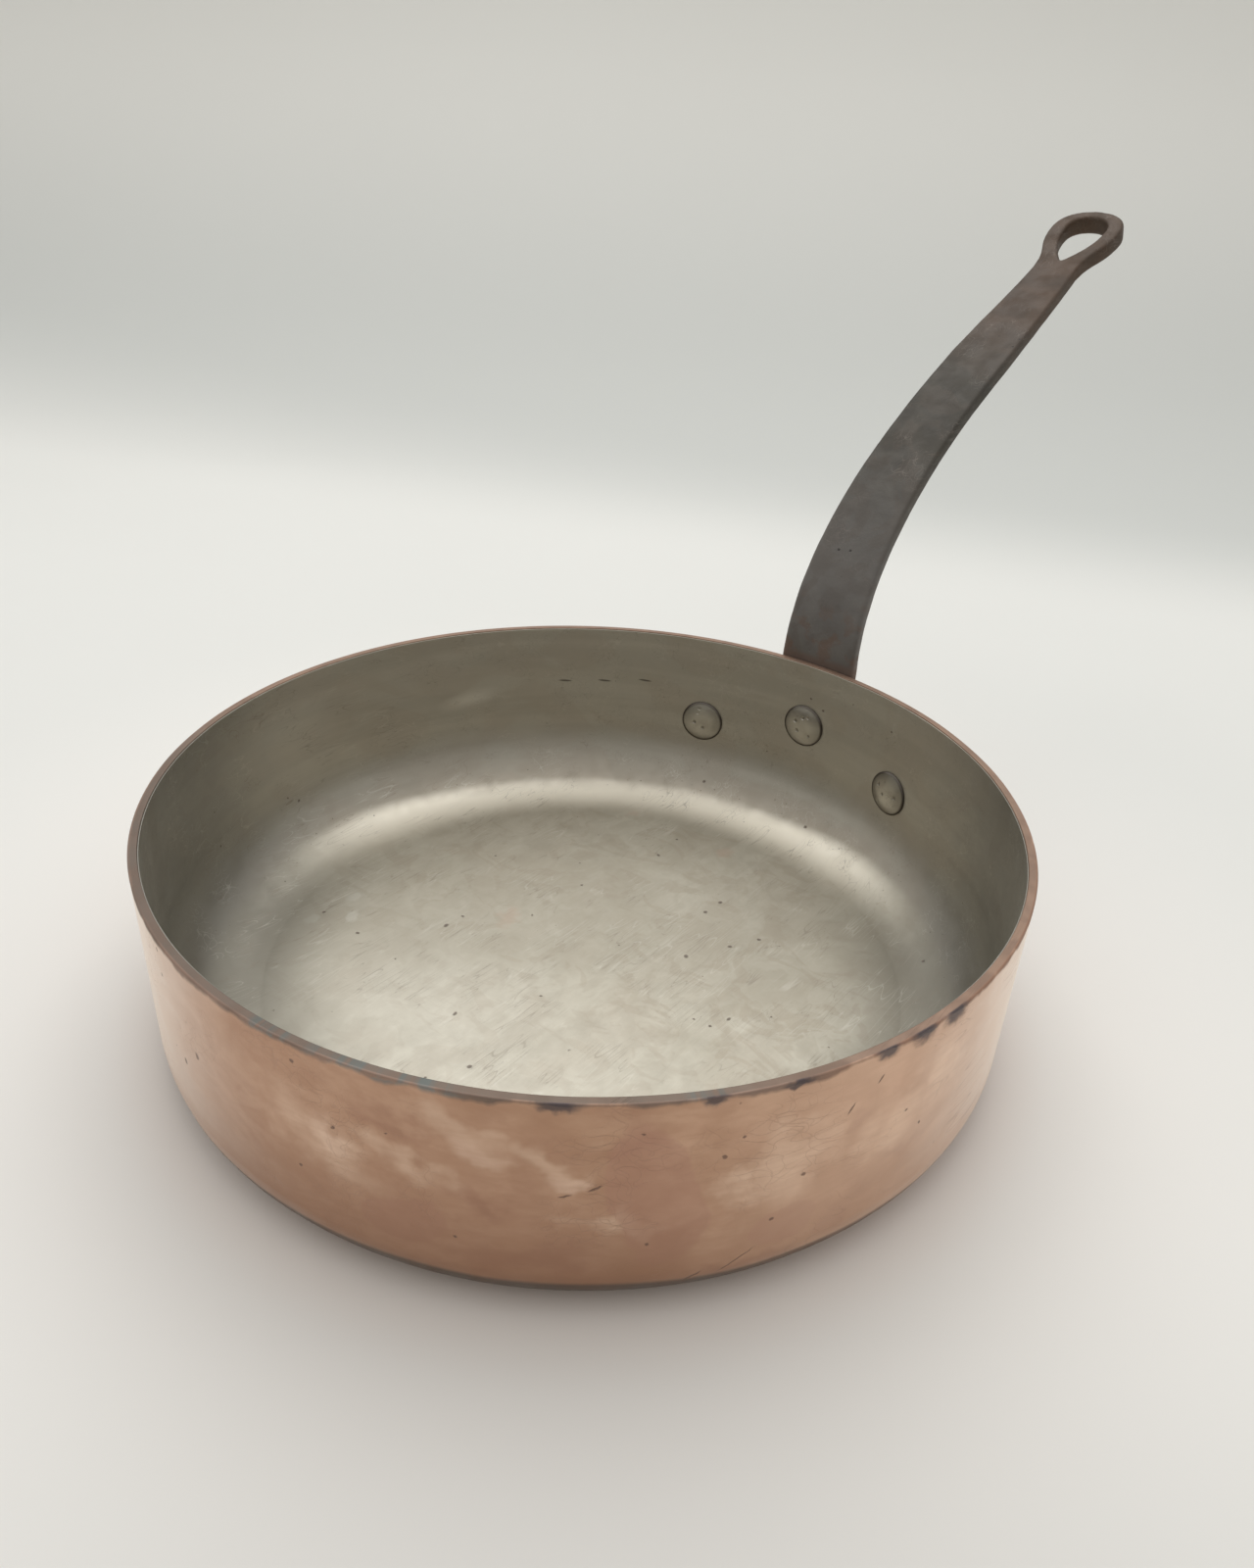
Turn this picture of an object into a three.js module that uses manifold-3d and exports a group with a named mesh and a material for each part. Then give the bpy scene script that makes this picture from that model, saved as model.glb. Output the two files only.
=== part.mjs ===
// Copper saute pan with a cast iron handle held by three rivets.
// Millimetres, +Z up. The origin is the centre of the pan's underside, and the handle points along +X.
import * as THREE from "three";
import { mergeVertices } from "three/addons/utils/BufferGeometryUtils.js";
import Module from "manifold-3d";

const wasm = await Module();
wasm.setup();

// Driving sizes of the pan
const panDiameter = 260; // outside
const panHeight = 68;
const copperThickness = 2.5;
const cornerRadius = 15; // outside, between the base and the wall
const rimRounding = 0.5; // on the copper's outer top edge
const liningThickness = 0.3; // wiped tin
const liningGap = 0.1; // the tin coat's clearance inside the copper
const liningSetback = 0.4; // the tin stops this far below the rim

// Driving sizes of the handle
const flangeThickness = 4.5;
const flangeGap = 0.3; // the flange's clearance outside the wall
const flangeLobeRadius = 13.5; // around each side rivet
const flangeBelly = 19; // how far the flange reaches below the upper rivet
const flangeShoulder = 7; // how far below the rim the strap starts to spread into the flange
const strapThickness = 4.5;
const strapThickening = 0.4; // share of the bent length by which it has grown to the neck's thickness
const strapBaseWidth = 31.2;
const strapWaistWidth = 24.2;
const strapWaist = 0.7; // share of the bent length where it has its waist's width
const strapNeckWidth = 18.8;
const neckThickness = 5.9;
const strapEdgeRounding = 1.5;
const strapLeadIn = 30; // how far the strap runs down the flange below the rim
const handleReach = 159.5; // from the wall to the neck, level
const handleRise = 130.2; // from the rim to the neck, upright
const riseStiffness = 70.5; // how strongly the strap keeps upright above the rim
const reachStiffness = 57; // how strongly it keeps straight before the neck
const neckAngle = THREE.MathUtils.degToRad(27.8); // above the level

// Driving sizes of the hanging eye
const eyeThickness = 8.2; // at the tip, thinning to the neck's thickness
const eyeWidth = 30.2;
const eyeHoleWidth = 16.8;
const eyeHoleLength = 32.6;
const eyeTipWidth = 5.7; // metal beyond the hole
const eyeNeckLength = 6.1; // from the neck to the point of the hole
const eyeEdgeRounding = 1.5;
const eyeFullness = 0.62; // how full its round ends are: 0.55 is an ellipse, 1 a rectangle
const eyePointFullness = 0.7; // how full the hole is near its point

// Driving sizes of the rivets
const rivetSpread = THREE.MathUtils.degToRad(19.5); // from the middle of the handle to a side rivet
const sideRivetDepth = 35.2; // below the rim
const upperRivetDepth = 25;
const rivetHeadDiameter = 16.6;
const rivetHeadHeight = 1.5;
const rivetHeadEdge = 0.5; // upright edge of the head
const rivetShankDiameter = 7;
const rivetPeenDiameter = 12.5;
const rivetPeenHeight = 2.6;
const rivetClearance = 0.3; // all round, and under both heads

// Fineness of the round forms
const panSegments = 72;
const cornerSteps = 6;
const rivetSegments = 20;
const domeSteps = 3;
const strapSteps = 28;
const edgeSteps = 2;
const outlineSteps = 8;

// Sizes worked out from the ones above
const wallRadius = panDiameter / 2;
const copperInside = wallRadius - copperThickness;
const liningOutside = copperInside - liningGap;
const liningInside = liningOutside - liningThickness;
const floorHeight = copperThickness + liningGap + liningThickness;
const copperFillet = cornerRadius - copperThickness;
const liningFillet = copperFillet - liningGap;
const tinFillet = liningFillet - liningThickness;
const flangeInside = wallRadius + flangeGap;
const flangeOutside = flangeInside + flangeThickness;
const neckReach = wallRadius + handleReach;
const neckHeight = panHeight + handleRise;

// Where each rivet sits: its turn about the pan and its height.
const rivetPlaces = {
  rivet_left: { angle: rivetSpread, height: panHeight - sideRivetDepth },
  rivet_upper: { angle: 0, height: panHeight - upperRivetDepth },
  rivet_right: { angle: -rivetSpread, height: panHeight - sideRivetDepth },
};

// One closed mesh as a solid that can be joined and cut.
function solidOf(geometry) {
  const plain = geometry.index ? geometry.toNonIndexed() : geometry.clone();
  plain.deleteAttribute("normal");
  plain.deleteAttribute("uv");
  const merged = mergeVertices(plain, 1e-4);
  return new wasm.Manifold(
    new wasm.Mesh({
      numProp: 3,
      vertProperties: new Float32Array(merged.attributes.position.array),
      triVerts: new Uint32Array(merged.index.array),
    }),
  );
}

// A solid's surface as a geometry for a mesh.
function geometryOf(solid) {
  const mesh = solid.getMesh();
  const geometry = new THREE.BufferGeometry();
  geometry.setAttribute("position", new THREE.BufferAttribute(mesh.vertProperties, 3));
  geometry.setIndex(new THREE.BufferAttribute(mesh.triVerts, 1));
  geometry.computeVertexNormals();
  return geometry;
}

// A round stretch of a profile about a centre, from one angle to another, in degrees.
function arc(centreX, centreY, radius, from, to, steps) {
  const points = [];
  for (let i = 0; i <= steps; i++) {
    const angle = THREE.MathUtils.degToRad(from + ((to - from) * i) / steps);
    points.push(new THREE.Vector2(centreX + radius * Math.cos(angle), centreY + radius * Math.sin(angle)));
  }
  return points;
}

// A profile turned about +Z. Its points run from the axis round the outside and back to the axis.
function turned(points, segments) {
  const geometry = new THREE.LatheGeometry(points, segments);
  geometry.rotateX(Math.PI / 2);
  return solidOf(geometry);
}

// An upright round bar about +Z, as finely faceted as the pan's wall.
function uprightBar(radius) {
  return turned([
    new THREE.Vector2(0, -panHeight),
    new THREE.Vector2(radius, -panHeight),
    new THREE.Vector2(radius, neckHeight),
    new THREE.Vector2(0, neckHeight),
  ], panSegments);
}

// Takes a solid whose +Z points out of the wall to its rivet's place.
function atRivet(solid, place) {
  const move = new THREE.Matrix4().makeRotationZ(place.angle);
  move.multiply(new THREE.Matrix4().makeTranslation(0, 0, place.height));
  move.multiply(new THREE.Matrix4().makeRotationY(Math.PI / 2));
  return solid.transform(move.toArray());
}

// Cuts the clearance holes of all three rivets.
function drilled(solid) {
  const radius = rivetShankDiameter / 2 + rivetClearance;
  const drill = turned([
    new THREE.Vector2(0, wallRadius / 2),
    new THREE.Vector2(radius, wallRadius / 2),
    new THREE.Vector2(radius, wallRadius * 1.5),
    new THREE.Vector2(0, wallRadius * 1.5),
  ], rivetSegments);
  return Object.values(rivetPlaces).reduce((piece, place) => piece.subtract(atRivet(drill, place)), solid);
}

// The copper shell: a flat base, a rounded corner and an upright wall.
function copperBody() {
  const outline = [
    new THREE.Vector2(0, 0),
    ...arc(wallRadius - cornerRadius, cornerRadius, cornerRadius, -90, 0, cornerSteps),
    new THREE.Vector2(wallRadius, panHeight - rimRounding),
    new THREE.Vector2(wallRadius - rimRounding, panHeight),
    new THREE.Vector2(copperInside, panHeight),
    ...arc(copperInside - copperFillet, cornerRadius, copperFillet, 0, -90, cornerSteps),
    new THREE.Vector2(0, copperThickness),
  ];
  return drilled(turned(outline, panSegments));
}

// The tin coat inside the copper, from the floor up to just under the rim.
function tinLining() {
  const top = panHeight - liningSetback;
  const outline = [
    new THREE.Vector2(0, copperThickness + liningGap),
    ...arc(liningOutside - liningFillet, cornerRadius, liningFillet, -90, 0, cornerSteps),
    new THREE.Vector2(liningOutside, top),
    new THREE.Vector2(liningInside, top),
    ...arc(liningInside - tinFillet, cornerRadius, tinFillet, 0, -90, cornerSteps),
    new THREE.Vector2(0, floorHeight),
  ];
  return drilled(turned(outline, panSegments));
}

// A unit vector in the XZ plane at an angle above the level.
function along(angle) {
  return new THREE.Vector3(Math.cos(angle), 0, Math.sin(angle));
}

// The middle line of the strap's upper face: straight up the flange, then bent out to the neck.
function strapLine() {
  const start = new THREE.Vector3(flangeInside, 0, panHeight - strapLeadIn);
  const rim = new THREE.Vector3(flangeInside, 0, panHeight);
  const neck = new THREE.Vector3(neckReach, 0, neckHeight);
  const line = new THREE.CurvePath();
  line.add(new THREE.LineCurve3(start, rim));
  line.add(
    new THREE.CubicBezierCurve3(
      rim,
      rim.clone().add(new THREE.Vector3(0, 0, riseStiffness)),
      neck.clone().addScaledVector(along(neckAngle), -reachStiffness),
      neck,
    ),
  );
  return line;
}

// The strap's section: a flat bar with rounded edges, as points across it and below its upper face.
function strapSection(width, thickness) {
  const side = width / 2 - strapEdgeRounding;
  const top = -strapEdgeRounding;
  const bottom = strapEdgeRounding - thickness;
  return [
    ...arc(side, top, strapEdgeRounding, 0, 90, edgeSteps),
    ...arc(-side, top, strapEdgeRounding, 90, 180, edgeSteps),
    ...arc(-side, bottom, strapEdgeRounding, 180, 270, edgeSteps),
    ...arc(side, bottom, strapEdgeRounding, 270, 360, edgeSteps),
  ];
}

// The strap's width at a share of its bent length: it narrows ever more slowly to its waist,
// and then evenly to the neck.
function strapWidth(share) {
  if (share < strapWaist) {
    return strapWaistWidth + (strapBaseWidth - strapWaistWidth) * (1 - share / strapWaist) ** 2;
  }
  return THREE.MathUtils.mapLinear(share, strapWaist, 1, strapWaistWidth, strapNeckWidth);
}

// The strap grows a little thicker above the rim.
function strapDepth(share) {
  const grown = THREE.MathUtils.smoothstep(share, 0, strapThickening);
  return THREE.MathUtils.lerp(strapThickness, neckThickness, grown);
}

// The strap, skinned over its sections and closed at both ends.
function strap() {
  const line = strapLine();
  const straight = strapLeadIn / line.getLength();
  const rings = [];
  for (let i = 0; i <= strapSteps; i++) {
    const share = i / strapSteps;
    const bent = Math.max(0, (share - straight) / (1 - straight));
    const middle = line.getPointAt(share);
    const way = line.getTangentAt(share);
    const down = new THREE.Vector3(way.z, 0, -way.x);
    rings.push(strapSection(strapWidth(bent), strapDepth(bent)).map((p) => {
      const point = middle.clone().addScaledVector(down, -p.y);
      point.y = p.x;
      return point;
    }));
  }
  // The last ring is carried on into the eye, short of its hole.
  const last = rings[rings.length - 1];
  rings.push(last.map((p) => p.clone().addScaledVector(along(neckAngle), eyeNeckLength / 2)));

  const count = last.length;
  const end = (rings.length - 1) * count;
  const faces = [];
  for (let first = 0; first < end; first += count) {
    for (let k = 0; k < count; k++) {
      const a = first + k;
      const b = first + ((k + 1) % count);
      faces.push(a, b, b + count, a, b + count, a + count);
    }
  }
  for (let k = 1; k + 1 < count; k++) {
    faces.push(0, k + 1, k, end, end + k, end + k + 1);
  }
  const geometry = new THREE.BufferGeometry().setFromPoints(rings.flat());
  geometry.setIndex(faces);
  return solidOf(geometry);
}

// The flange's outline seen along the handle: a lobe round each side rivet, drawn up into the strap.
function flangeOutline() {
  const side = wallRadius * Math.sin(rivetSpread);
  const lobe = panHeight - sideRivetDepth;
  const lobeTop = lobe + flangeLobeRadius;
  const lobeBottom = lobe - flangeLobeRadius;
  const belly = panHeight - upperRivetDepth - flangeBelly;
  const shoulder = panHeight - flangeShoulder;
  const half = strapBaseWidth / 2;
  const hollow = (side - half) / 2;
  const shape = new THREE.Shape();
  shape.moveTo(-half, shoulder);
  shape.bezierCurveTo(-half, lobeTop, -side + hollow, lobeTop, -side, lobeTop);
  shape.absarc(-side, lobe, flangeLobeRadius, Math.PI / 2, (Math.PI * 3) / 2, false);
  shape.bezierCurveTo(-side + hollow, lobeBottom, -half, belly, 0, belly);
  shape.bezierCurveTo(half, belly, side - hollow, lobeBottom, side, lobeBottom);
  shape.absarc(side, lobe, flangeLobeRadius, -Math.PI / 2, Math.PI / 2, false);
  shape.bezierCurveTo(side - hollow, lobeTop, half, lobeTop, half, shoulder);
  return shape;
}

// The flange: its outline cut out of a ring that wraps the wall.
function flange() {
  const block = new THREE.ExtrudeGeometry(flangeOutline(), {
    depth: wallRadius,
    bevelEnabled: false,
    curveSegments: outlineSteps,
  });
  // The outline's X runs across the handle, its Y is height, and its depth points out of the pan.
  block.applyMatrix4(
    new THREE.Matrix4().makeBasis(
      new THREE.Vector3(0, 1, 0),
      new THREE.Vector3(0, 0, 1),
      new THREE.Vector3(1, 0, 0),
    ),
  );
  block.translate(wallRadius / 2, 0, 0);
  return solidOf(block).intersect(uprightBar(flangeOutside));
}

// The hanging eye: a drop-shaped loop in line with the neck, with a drop-shaped hole, thickest at its tip.
function eye() {
  const point = eyeNeckLength;
  const far = point + eyeHoleLength;
  const tip = far + eyeTipWidth;
  const half = eyeWidth / 2;
  const hole = eyeHoleWidth / 2;
  const neck = strapNeckWidth / 2;
  const middle = far - hole;
  const tipBulge = (tip - middle) * eyeFullness;
  const holeBulge = hole * eyeFullness;
  const outer = new THREE.Shape();
  outer.moveTo(0, -neck);
  outer.bezierCurveTo(middle / 2, -neck, middle / 2, -half, middle, -half);
  outer.bezierCurveTo(middle + tipBulge, -half, tip, -half * eyeFullness, tip, 0);
  outer.bezierCurveTo(tip, half * eyeFullness, middle + tipBulge, half, middle, half);
  outer.bezierCurveTo(middle / 2, half, middle / 2, neck, 0, neck);
  outer.closePath();
  const drop = new THREE.Path();
  drop.moveTo(point, 0);
  drop.bezierCurveTo(point + hole, hole * eyePointFullness, middle - hole, hole, middle, hole);
  drop.bezierCurveTo(middle + holeBulge, hole, far, holeBulge, far, 0);
  drop.bezierCurveTo(far, -holeBulge, middle + holeBulge, -hole, middle, -hole);
  drop.bezierCurveTo(middle - hole, -hole, point + hole, -hole * eyePointFullness, point, 0);
  outer.holes.push(drop);
  const loop = new THREE.ExtrudeGeometry(outer, {
    depth: eyeThickness - 2 * eyeEdgeRounding,
    bevelEnabled: true,
    bevelThickness: eyeEdgeRounding,
    bevelSize: eyeEdgeRounding,
    bevelOffset: -eyeEdgeRounding,
    bevelSegments: edgeSteps,
    curveSegments: outlineSteps,
  });
  // The upper face goes into the plane of the neck's upper face, and the underside slopes away from it.
  loop.translate(0, 0, eyeEdgeRounding - eyeThickness);
  const places = loop.attributes.position;
  for (let i = 0; i < places.count; i++) {
    const thickness = THREE.MathUtils.mapLinear(places.getX(i), 0, tip, neckThickness, eyeThickness);
    places.setZ(i, (places.getZ(i) * thickness) / eyeThickness);
  }
  loop.rotateY(-neckAngle);
  loop.translate(neckReach, 0, neckHeight);
  return solidOf(loop);
}

// The iron handle: flange, strap and eye in one casting, hollowed to clear the wall and drilled.
function ironHandle() {
  const casting = strap().add(flange()).add(eye());
  return drilled(casting.subtract(uprightBar(flangeInside)));
}

// One rivet: a low round head bedded on the lining, a shank, and a hammered end bedded on the flange.
function rivet(place) {
  const shank = rivetShankDiameter / 2;
  const head = rivetHeadDiameter / 2;
  const peen = rivetPeenDiameter / 2;
  const headSeat = liningInside - rivetClearance;
  const peenSeat = flangeOutside + rivetClearance;
  const headDome = [];
  const peenDome = [];
  for (let i = 0; i <= domeSteps; i++) {
    const angle = ((Math.PI / 2) * i) / domeSteps;
    const crown = rivetHeadHeight - rivetHeadEdge;
    headDome.push(new THREE.Vector2(
      head * Math.sin(angle),
      headSeat - rivetHeadEdge - crown * Math.cos(angle),
    ));
    peenDome.push(new THREE.Vector2(
      i === domeSteps ? 0 : peen * Math.cos(angle),
      peenSeat + rivetPeenHeight * Math.sin(angle),
    ));
  }
  const headBlank = turned([
    ...headDome,
    new THREE.Vector2(head, wallRadius),
    new THREE.Vector2(0, wallRadius),
  ], rivetSegments);
  const peenBlank = turned([
    new THREE.Vector2(0, wallRadius),
    new THREE.Vector2(peen, wallRadius),
    ...peenDome,
  ], rivetSegments);
  const bar = turned([
    new THREE.Vector2(0, headSeat - rivetHeadEdge),
    new THREE.Vector2(shank, headSeat - rivetHeadEdge),
    new THREE.Vector2(shank, peenSeat + rivetPeenHeight / 2),
    new THREE.Vector2(0, peenSeat + rivetPeenHeight / 2),
  ], rivetSegments);
  return atRivet(headBlank, place)
    .intersect(uprightBar(headSeat))
    .add(atRivet(peenBlank, place).subtract(uprightBar(peenSeat)))
    .add(atRivet(bar, place));
}

// Finishes
const copper = { color: 0xc08a6c, metalness: 1, roughness: 0.28 };
const tin = { color: 0x8c8676, metalness: 1, roughness: 0.45 };
const iron = { color: 0x4f4a45, metalness: 0.8, roughness: 0.55 };
const tinnedCopper = { color: 0x8a857a, metalness: 1, roughness: 0.4 };

function piece(name, solid, finish) {
  const mesh = new THREE.Mesh(geometryOf(solid), new THREE.MeshStandardMaterial(finish));
  mesh.name = name;
  return mesh;
}

const pan = new THREE.Group();
pan.add(piece("copper_body", copperBody(), copper));
pan.add(piece("tin_lining", tinLining(), tin));
pan.add(piece("iron_handle", ironHandle(), iron));
for (const [name, place] of Object.entries(rivetPlaces)) {
  pan.add(piece(name, rivet(place), tinnedCopper));
}

export default pan;
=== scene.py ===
"""Copper saute pan: finer pieces and finishes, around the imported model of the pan."""

import math

import bmesh
import bpy
from mathutils import Matrix, Vector, noise
from mathutils.geometry import interpolate_bezier


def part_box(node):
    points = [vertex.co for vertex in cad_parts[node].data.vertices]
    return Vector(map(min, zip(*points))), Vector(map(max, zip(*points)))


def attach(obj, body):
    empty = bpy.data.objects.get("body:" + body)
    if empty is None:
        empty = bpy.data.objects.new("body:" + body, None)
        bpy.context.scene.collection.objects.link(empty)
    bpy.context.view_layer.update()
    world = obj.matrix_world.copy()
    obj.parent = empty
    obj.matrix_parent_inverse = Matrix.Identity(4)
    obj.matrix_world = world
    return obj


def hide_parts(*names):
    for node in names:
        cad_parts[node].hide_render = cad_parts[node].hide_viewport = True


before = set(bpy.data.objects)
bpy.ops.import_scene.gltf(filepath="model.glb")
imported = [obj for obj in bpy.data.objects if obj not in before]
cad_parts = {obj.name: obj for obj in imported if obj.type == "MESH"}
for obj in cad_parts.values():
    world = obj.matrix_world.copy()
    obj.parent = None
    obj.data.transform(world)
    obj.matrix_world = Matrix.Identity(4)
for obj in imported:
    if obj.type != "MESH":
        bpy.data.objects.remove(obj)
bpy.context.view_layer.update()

MM = 0.001

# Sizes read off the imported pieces
pan_low, pan_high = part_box("copper_body")
WALL_RADIUS = (pan_high.x - pan_low.x) / 2
PAN_HEIGHT = pan_high.z
TIN_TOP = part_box("tin_lining")[1].z

# Sizes of the pan
COPPER = 2.5 * MM
CORNER = 15 * MM
RIM_ROUNDING = 0.55 * MM
INNER_ARRIS = 0.25 * MM
INNER_CORNER = 25 * MM
TIN_THICKNESS, TIN_GAP, TIN_ARRIS = 0.4 * MM, 0.1 * MM, 0.12 * MM
TIN_INSIDE = WALL_RADIUS - 2.9 * MM
FLOOR = 2.9 * MM
TIN_SEAT = 0.05 * MM  # the tin stands this far off the copper floor
UNEVENNESS, UNEVEN_SIZE = 0.25 * MM, 26 * MM  # depth and width of the hand work on the wall
ROUND_STEPS, CORNER_STEPS = 256, 10
ROW = 5 * MM  # rows of faces along the straight runs
COPPER_HOLD, TIN_HOLD = 0.3 * MM, 0.1 * MM  # how close a row stands beside each rounding
SAME_PLACE = 0.001 * MM

# Sizes of the handle
STRAP_FACE = WALL_RADIUS + 0.3 * MM
FLANGE_THICKNESS = 4.5 * MM
FLANGE_LOBE = 13.5 * MM
FLANGE_BELLY = 19 * MM
FLANGE_SHOULDER = 7 * MM
FLANGE_CUTS = 27  # upright cuts on each side, along which the flange bends
STRAP_THICKNESS, NECK_THICKNESS = 4.5 * MM, 5.9 * MM
STRAP_THICKENED = 0.4  # share of the bent length by which the strap has its neck's thickness
STRAP_BASE, STRAP_WAIST, STRAP_NECK = 31.2 * MM, 24.2 * MM, 18.8 * MM
STRAP_WAIST_SHARE = 0.7
STRAP_LEAD_IN = 30 * MM
HANDLE_REACH, HANDLE_RISE = 159.5 * MM, 130.2 * MM
RISE_STIFFNESS, REACH_STIFFNESS = 70.5 * MM, 57 * MM
NECK_ANGLE = math.radians(27.8)
NECK_END = Vector((WALL_RADIUS + HANDLE_REACH, 0, PAN_HEIGHT + HANDLE_RISE))
EYE_THICKNESS = 8.2 * MM
EYE_WIDTH = 30.2 * MM
EYE_HOLE_WIDTH, EYE_HOLE_LENGTH = 16.8 * MM, 32.6 * MM
EYE_TIP, EYE_NECK = 5.7 * MM, 6.1 * MM
EYE_FULLNESS, EYE_POINT_FULLNESS = 0.62, 0.7
IRON_ROUNDING = 1.3 * MM
MARKED_ANGLE = 0.7  # in radians; edges sharper than this are rounded
STRAP_STEPS, OUTLINE_STEPS, HOLE_STEPS, LOBE_STEPS = 60, 14, 12, 20
CAST_GRAIN = 0.55 * MM  # face size of the finished casting
CAST_SHRINK = 0.05 * MM  # the skin lies this far inside the drawn size
CAST_SMOOTHINGS = 4
CAST_SWELLS = ((14 * MM, 0.10 * MM), (4 * MM, 0.04 * MM))  # size and height of the skin's unevenness

# Sizes and places of the rivets
RIVET_SPREAD = math.radians(19.5)
SIDE_RIVET, UPPER_RIVET = 35.2 * MM, 25 * MM
HEAD_RADIUS, HEAD_EDGE = 8.3 * MM, 0.55 * MM
HEAD_CROWN = WALL_RADIUS - 4.7 * MM
HEAD_SEAT = TIN_INSIDE + 0.1 * MM
HEAD_CURVE = 2.4  # a higher power leaves the head flatter in its middle
SHANK_RADIUS = 3.5 * MM
PEEN_RADIUS, PEEN_FOOT, PEEN_HEIGHT, PEEN_EDGE = 6.2 * MM, 0.96, 2.4 * MM, 0.3 * MM
PEEN_SEAT = STRAP_FACE + FLANGE_THICKNESS - 0.2 * MM
PEEN_CURVE = 0.9
DENT_SIZE, DENT_DEPTH = 3.2 * MM, 0.35 * MM
RIVET_STEPS, CROWN_STEPS = 56, 12
RIVETS = {
    "rivet_left": (RIVET_SPREAD, PAN_HEIGHT - SIDE_RIVET),
    "rivet_upper": (0.0, PAN_HEIGHT - UPPER_RIVET),
    "rivet_right": (-RIVET_SPREAD, PAN_HEIGHT - SIDE_RIVET),
}

# Stands a shape up against the wall: its X runs across, its Y is height and its Z points out of the pan.
STAND_UP = Matrix(((0, 0, 1), (1, 0, 0), (0, 1, 0)))


# Shaping

def round_corners(corners, hold):
    """A profile of straight runs with rounded corners, held by a close row beside each rounding.

    Each corner is a radius from the axis, a height and a rounding."""
    points = []
    last = len(corners) - 1
    for i, (r, z, rounding) in enumerate(corners):
        here = Vector((r, z))
        if i in (0, last) or rounding == 0:
            points.append(here)
            continue
        to_last = (Vector(corners[i - 1][:2]) - here).normalized()
        to_next = (Vector(corners[i + 1][:2]) - here).normalized()
        half = to_last.angle(to_next) / 2
        reach = rounding / math.tan(half)
        centre = here + (to_last + to_next).normalized() * rounding / math.sin(half)
        start = here + to_last * reach - centre
        end = here + to_next * reach - centre
        sweep = start.angle_signed(end)
        points.append(centre + start + to_last * hold)
        for k in range(CORNER_STEPS + 1):
            turn = Matrix.Rotation(-sweep * k / CORNER_STEPS, 2)
            points.append(centre + turn @ start)
        points.append(centre + end + to_next * hold)
    filled = [points[0]]
    for point in points[1:]:
        run = point - filled[-1]
        rows = int(run.length / ROW)
        for _ in range(1, rows):
            filled.append(filled[-1] + run / rows)
        filled.append(point)
    return filled


def turn_body(profile, steps=ROUND_STEPS):
    """A closed body turned about +Z from a profile that starts and ends on the axis."""
    bm = bmesh.new()
    line = [bm.verts.new((p.x, 0, p.y)) for p in profile]
    edges = [bm.edges.new(pair) for pair in zip(line, line[1:])]
    bmesh.ops.spin(bm, geom=line + edges, axis=(0, 0, 1), angle=2 * math.pi, steps=steps, use_merge=True)
    bmesh.ops.remove_doubles(bm, verts=bm.verts, dist=SAME_PLACE)
    bmesh.ops.recalc_face_normals(bm, faces=bm.faces)
    return bm


def hand_work(bm, depth, size, least_radius):
    """Presses shallow, wide unevenness into the wall, always inwards."""
    for vert in bm.verts:
        radius = math.hypot(vert.co.x, vert.co.y)
        if radius > least_radius:
            press = depth * (0.5 + 0.5 * noise.noise(vert.co / size))
            vert.co.xy *= 1 - press / radius


def as_mesh(bm, name):
    """The mesh of a finished shape, which is used up."""
    mesh = bpy.data.meshes.new(name)
    bm.to_mesh(mesh)
    bm.free()
    return mesh


def add_object(name, data):
    """An object in the scene, at the origin."""
    added = bpy.data.objects.new(name, data)
    bpy.context.scene.collection.objects.link(added)
    return added


def dressed_object(name, bm, material):
    """An object in the scene from a finished shape and its finish."""
    mesh = as_mesh(bm, name)
    mesh.shade_smooth()
    mesh.materials.append(material)
    return add_object(name, mesh)


def finish_piece(name, bm, material, node):
    """Puts a finished shape into the scene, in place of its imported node."""
    piece = dressed_object(name, bm, material)
    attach(piece, "root")
    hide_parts(node)


def copper_shell():
    """The copper: a flat base, a rounded corner, an upright wall and a flat rim."""
    bm = turn_body(round_corners([
        (0, 0, 0),
        (WALL_RADIUS, 0, CORNER),
        (WALL_RADIUS, PAN_HEIGHT, RIM_ROUNDING),
        (WALL_RADIUS - COPPER, PAN_HEIGHT, INNER_ARRIS),
        (WALL_RADIUS - COPPER, COPPER, INNER_CORNER),
        (0, COPPER, 0),
    ], COPPER_HOLD))
    hand_work(bm, UNEVENNESS, UNEVEN_SIZE, WALL_RADIUS - CORNER)
    return bm


def tin_coat():
    """The tin: a thin coat that follows the inside of the copper."""
    outside = WALL_RADIUS - COPPER - TIN_GAP
    return turn_body(round_corners([
        (0, COPPER + TIN_SEAT, 0),
        (outside, COPPER + TIN_SEAT, INNER_CORNER),
        (outside, TIN_TOP, 0),
        (TIN_INSIDE, TIN_TOP, TIN_ARRIS),
        (TIN_INSIDE, FLOOR, INNER_CORNER - TIN_THICKNESS),
        (0, FLOOR, 0),
    ], TIN_HOLD))


def bezier(points, steps):
    """A run of points along a cubic curve given by its end and control points."""
    corners = [Vector(p).to_3d() for p in points]
    return interpolate_bezier(*corners, steps + 1)


def strap_width(share):
    """The strap's width at a share of its bent length: narrowing to a waist and on to the neck."""
    if share < STRAP_WAIST_SHARE:
        return STRAP_WAIST + (STRAP_BASE - STRAP_WAIST) * (1 - share / STRAP_WAIST_SHARE) ** 2
    past = (share - STRAP_WAIST_SHARE) / (1 - STRAP_WAIST_SHARE)
    return STRAP_WAIST + (STRAP_NECK - STRAP_WAIST) * past


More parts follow.
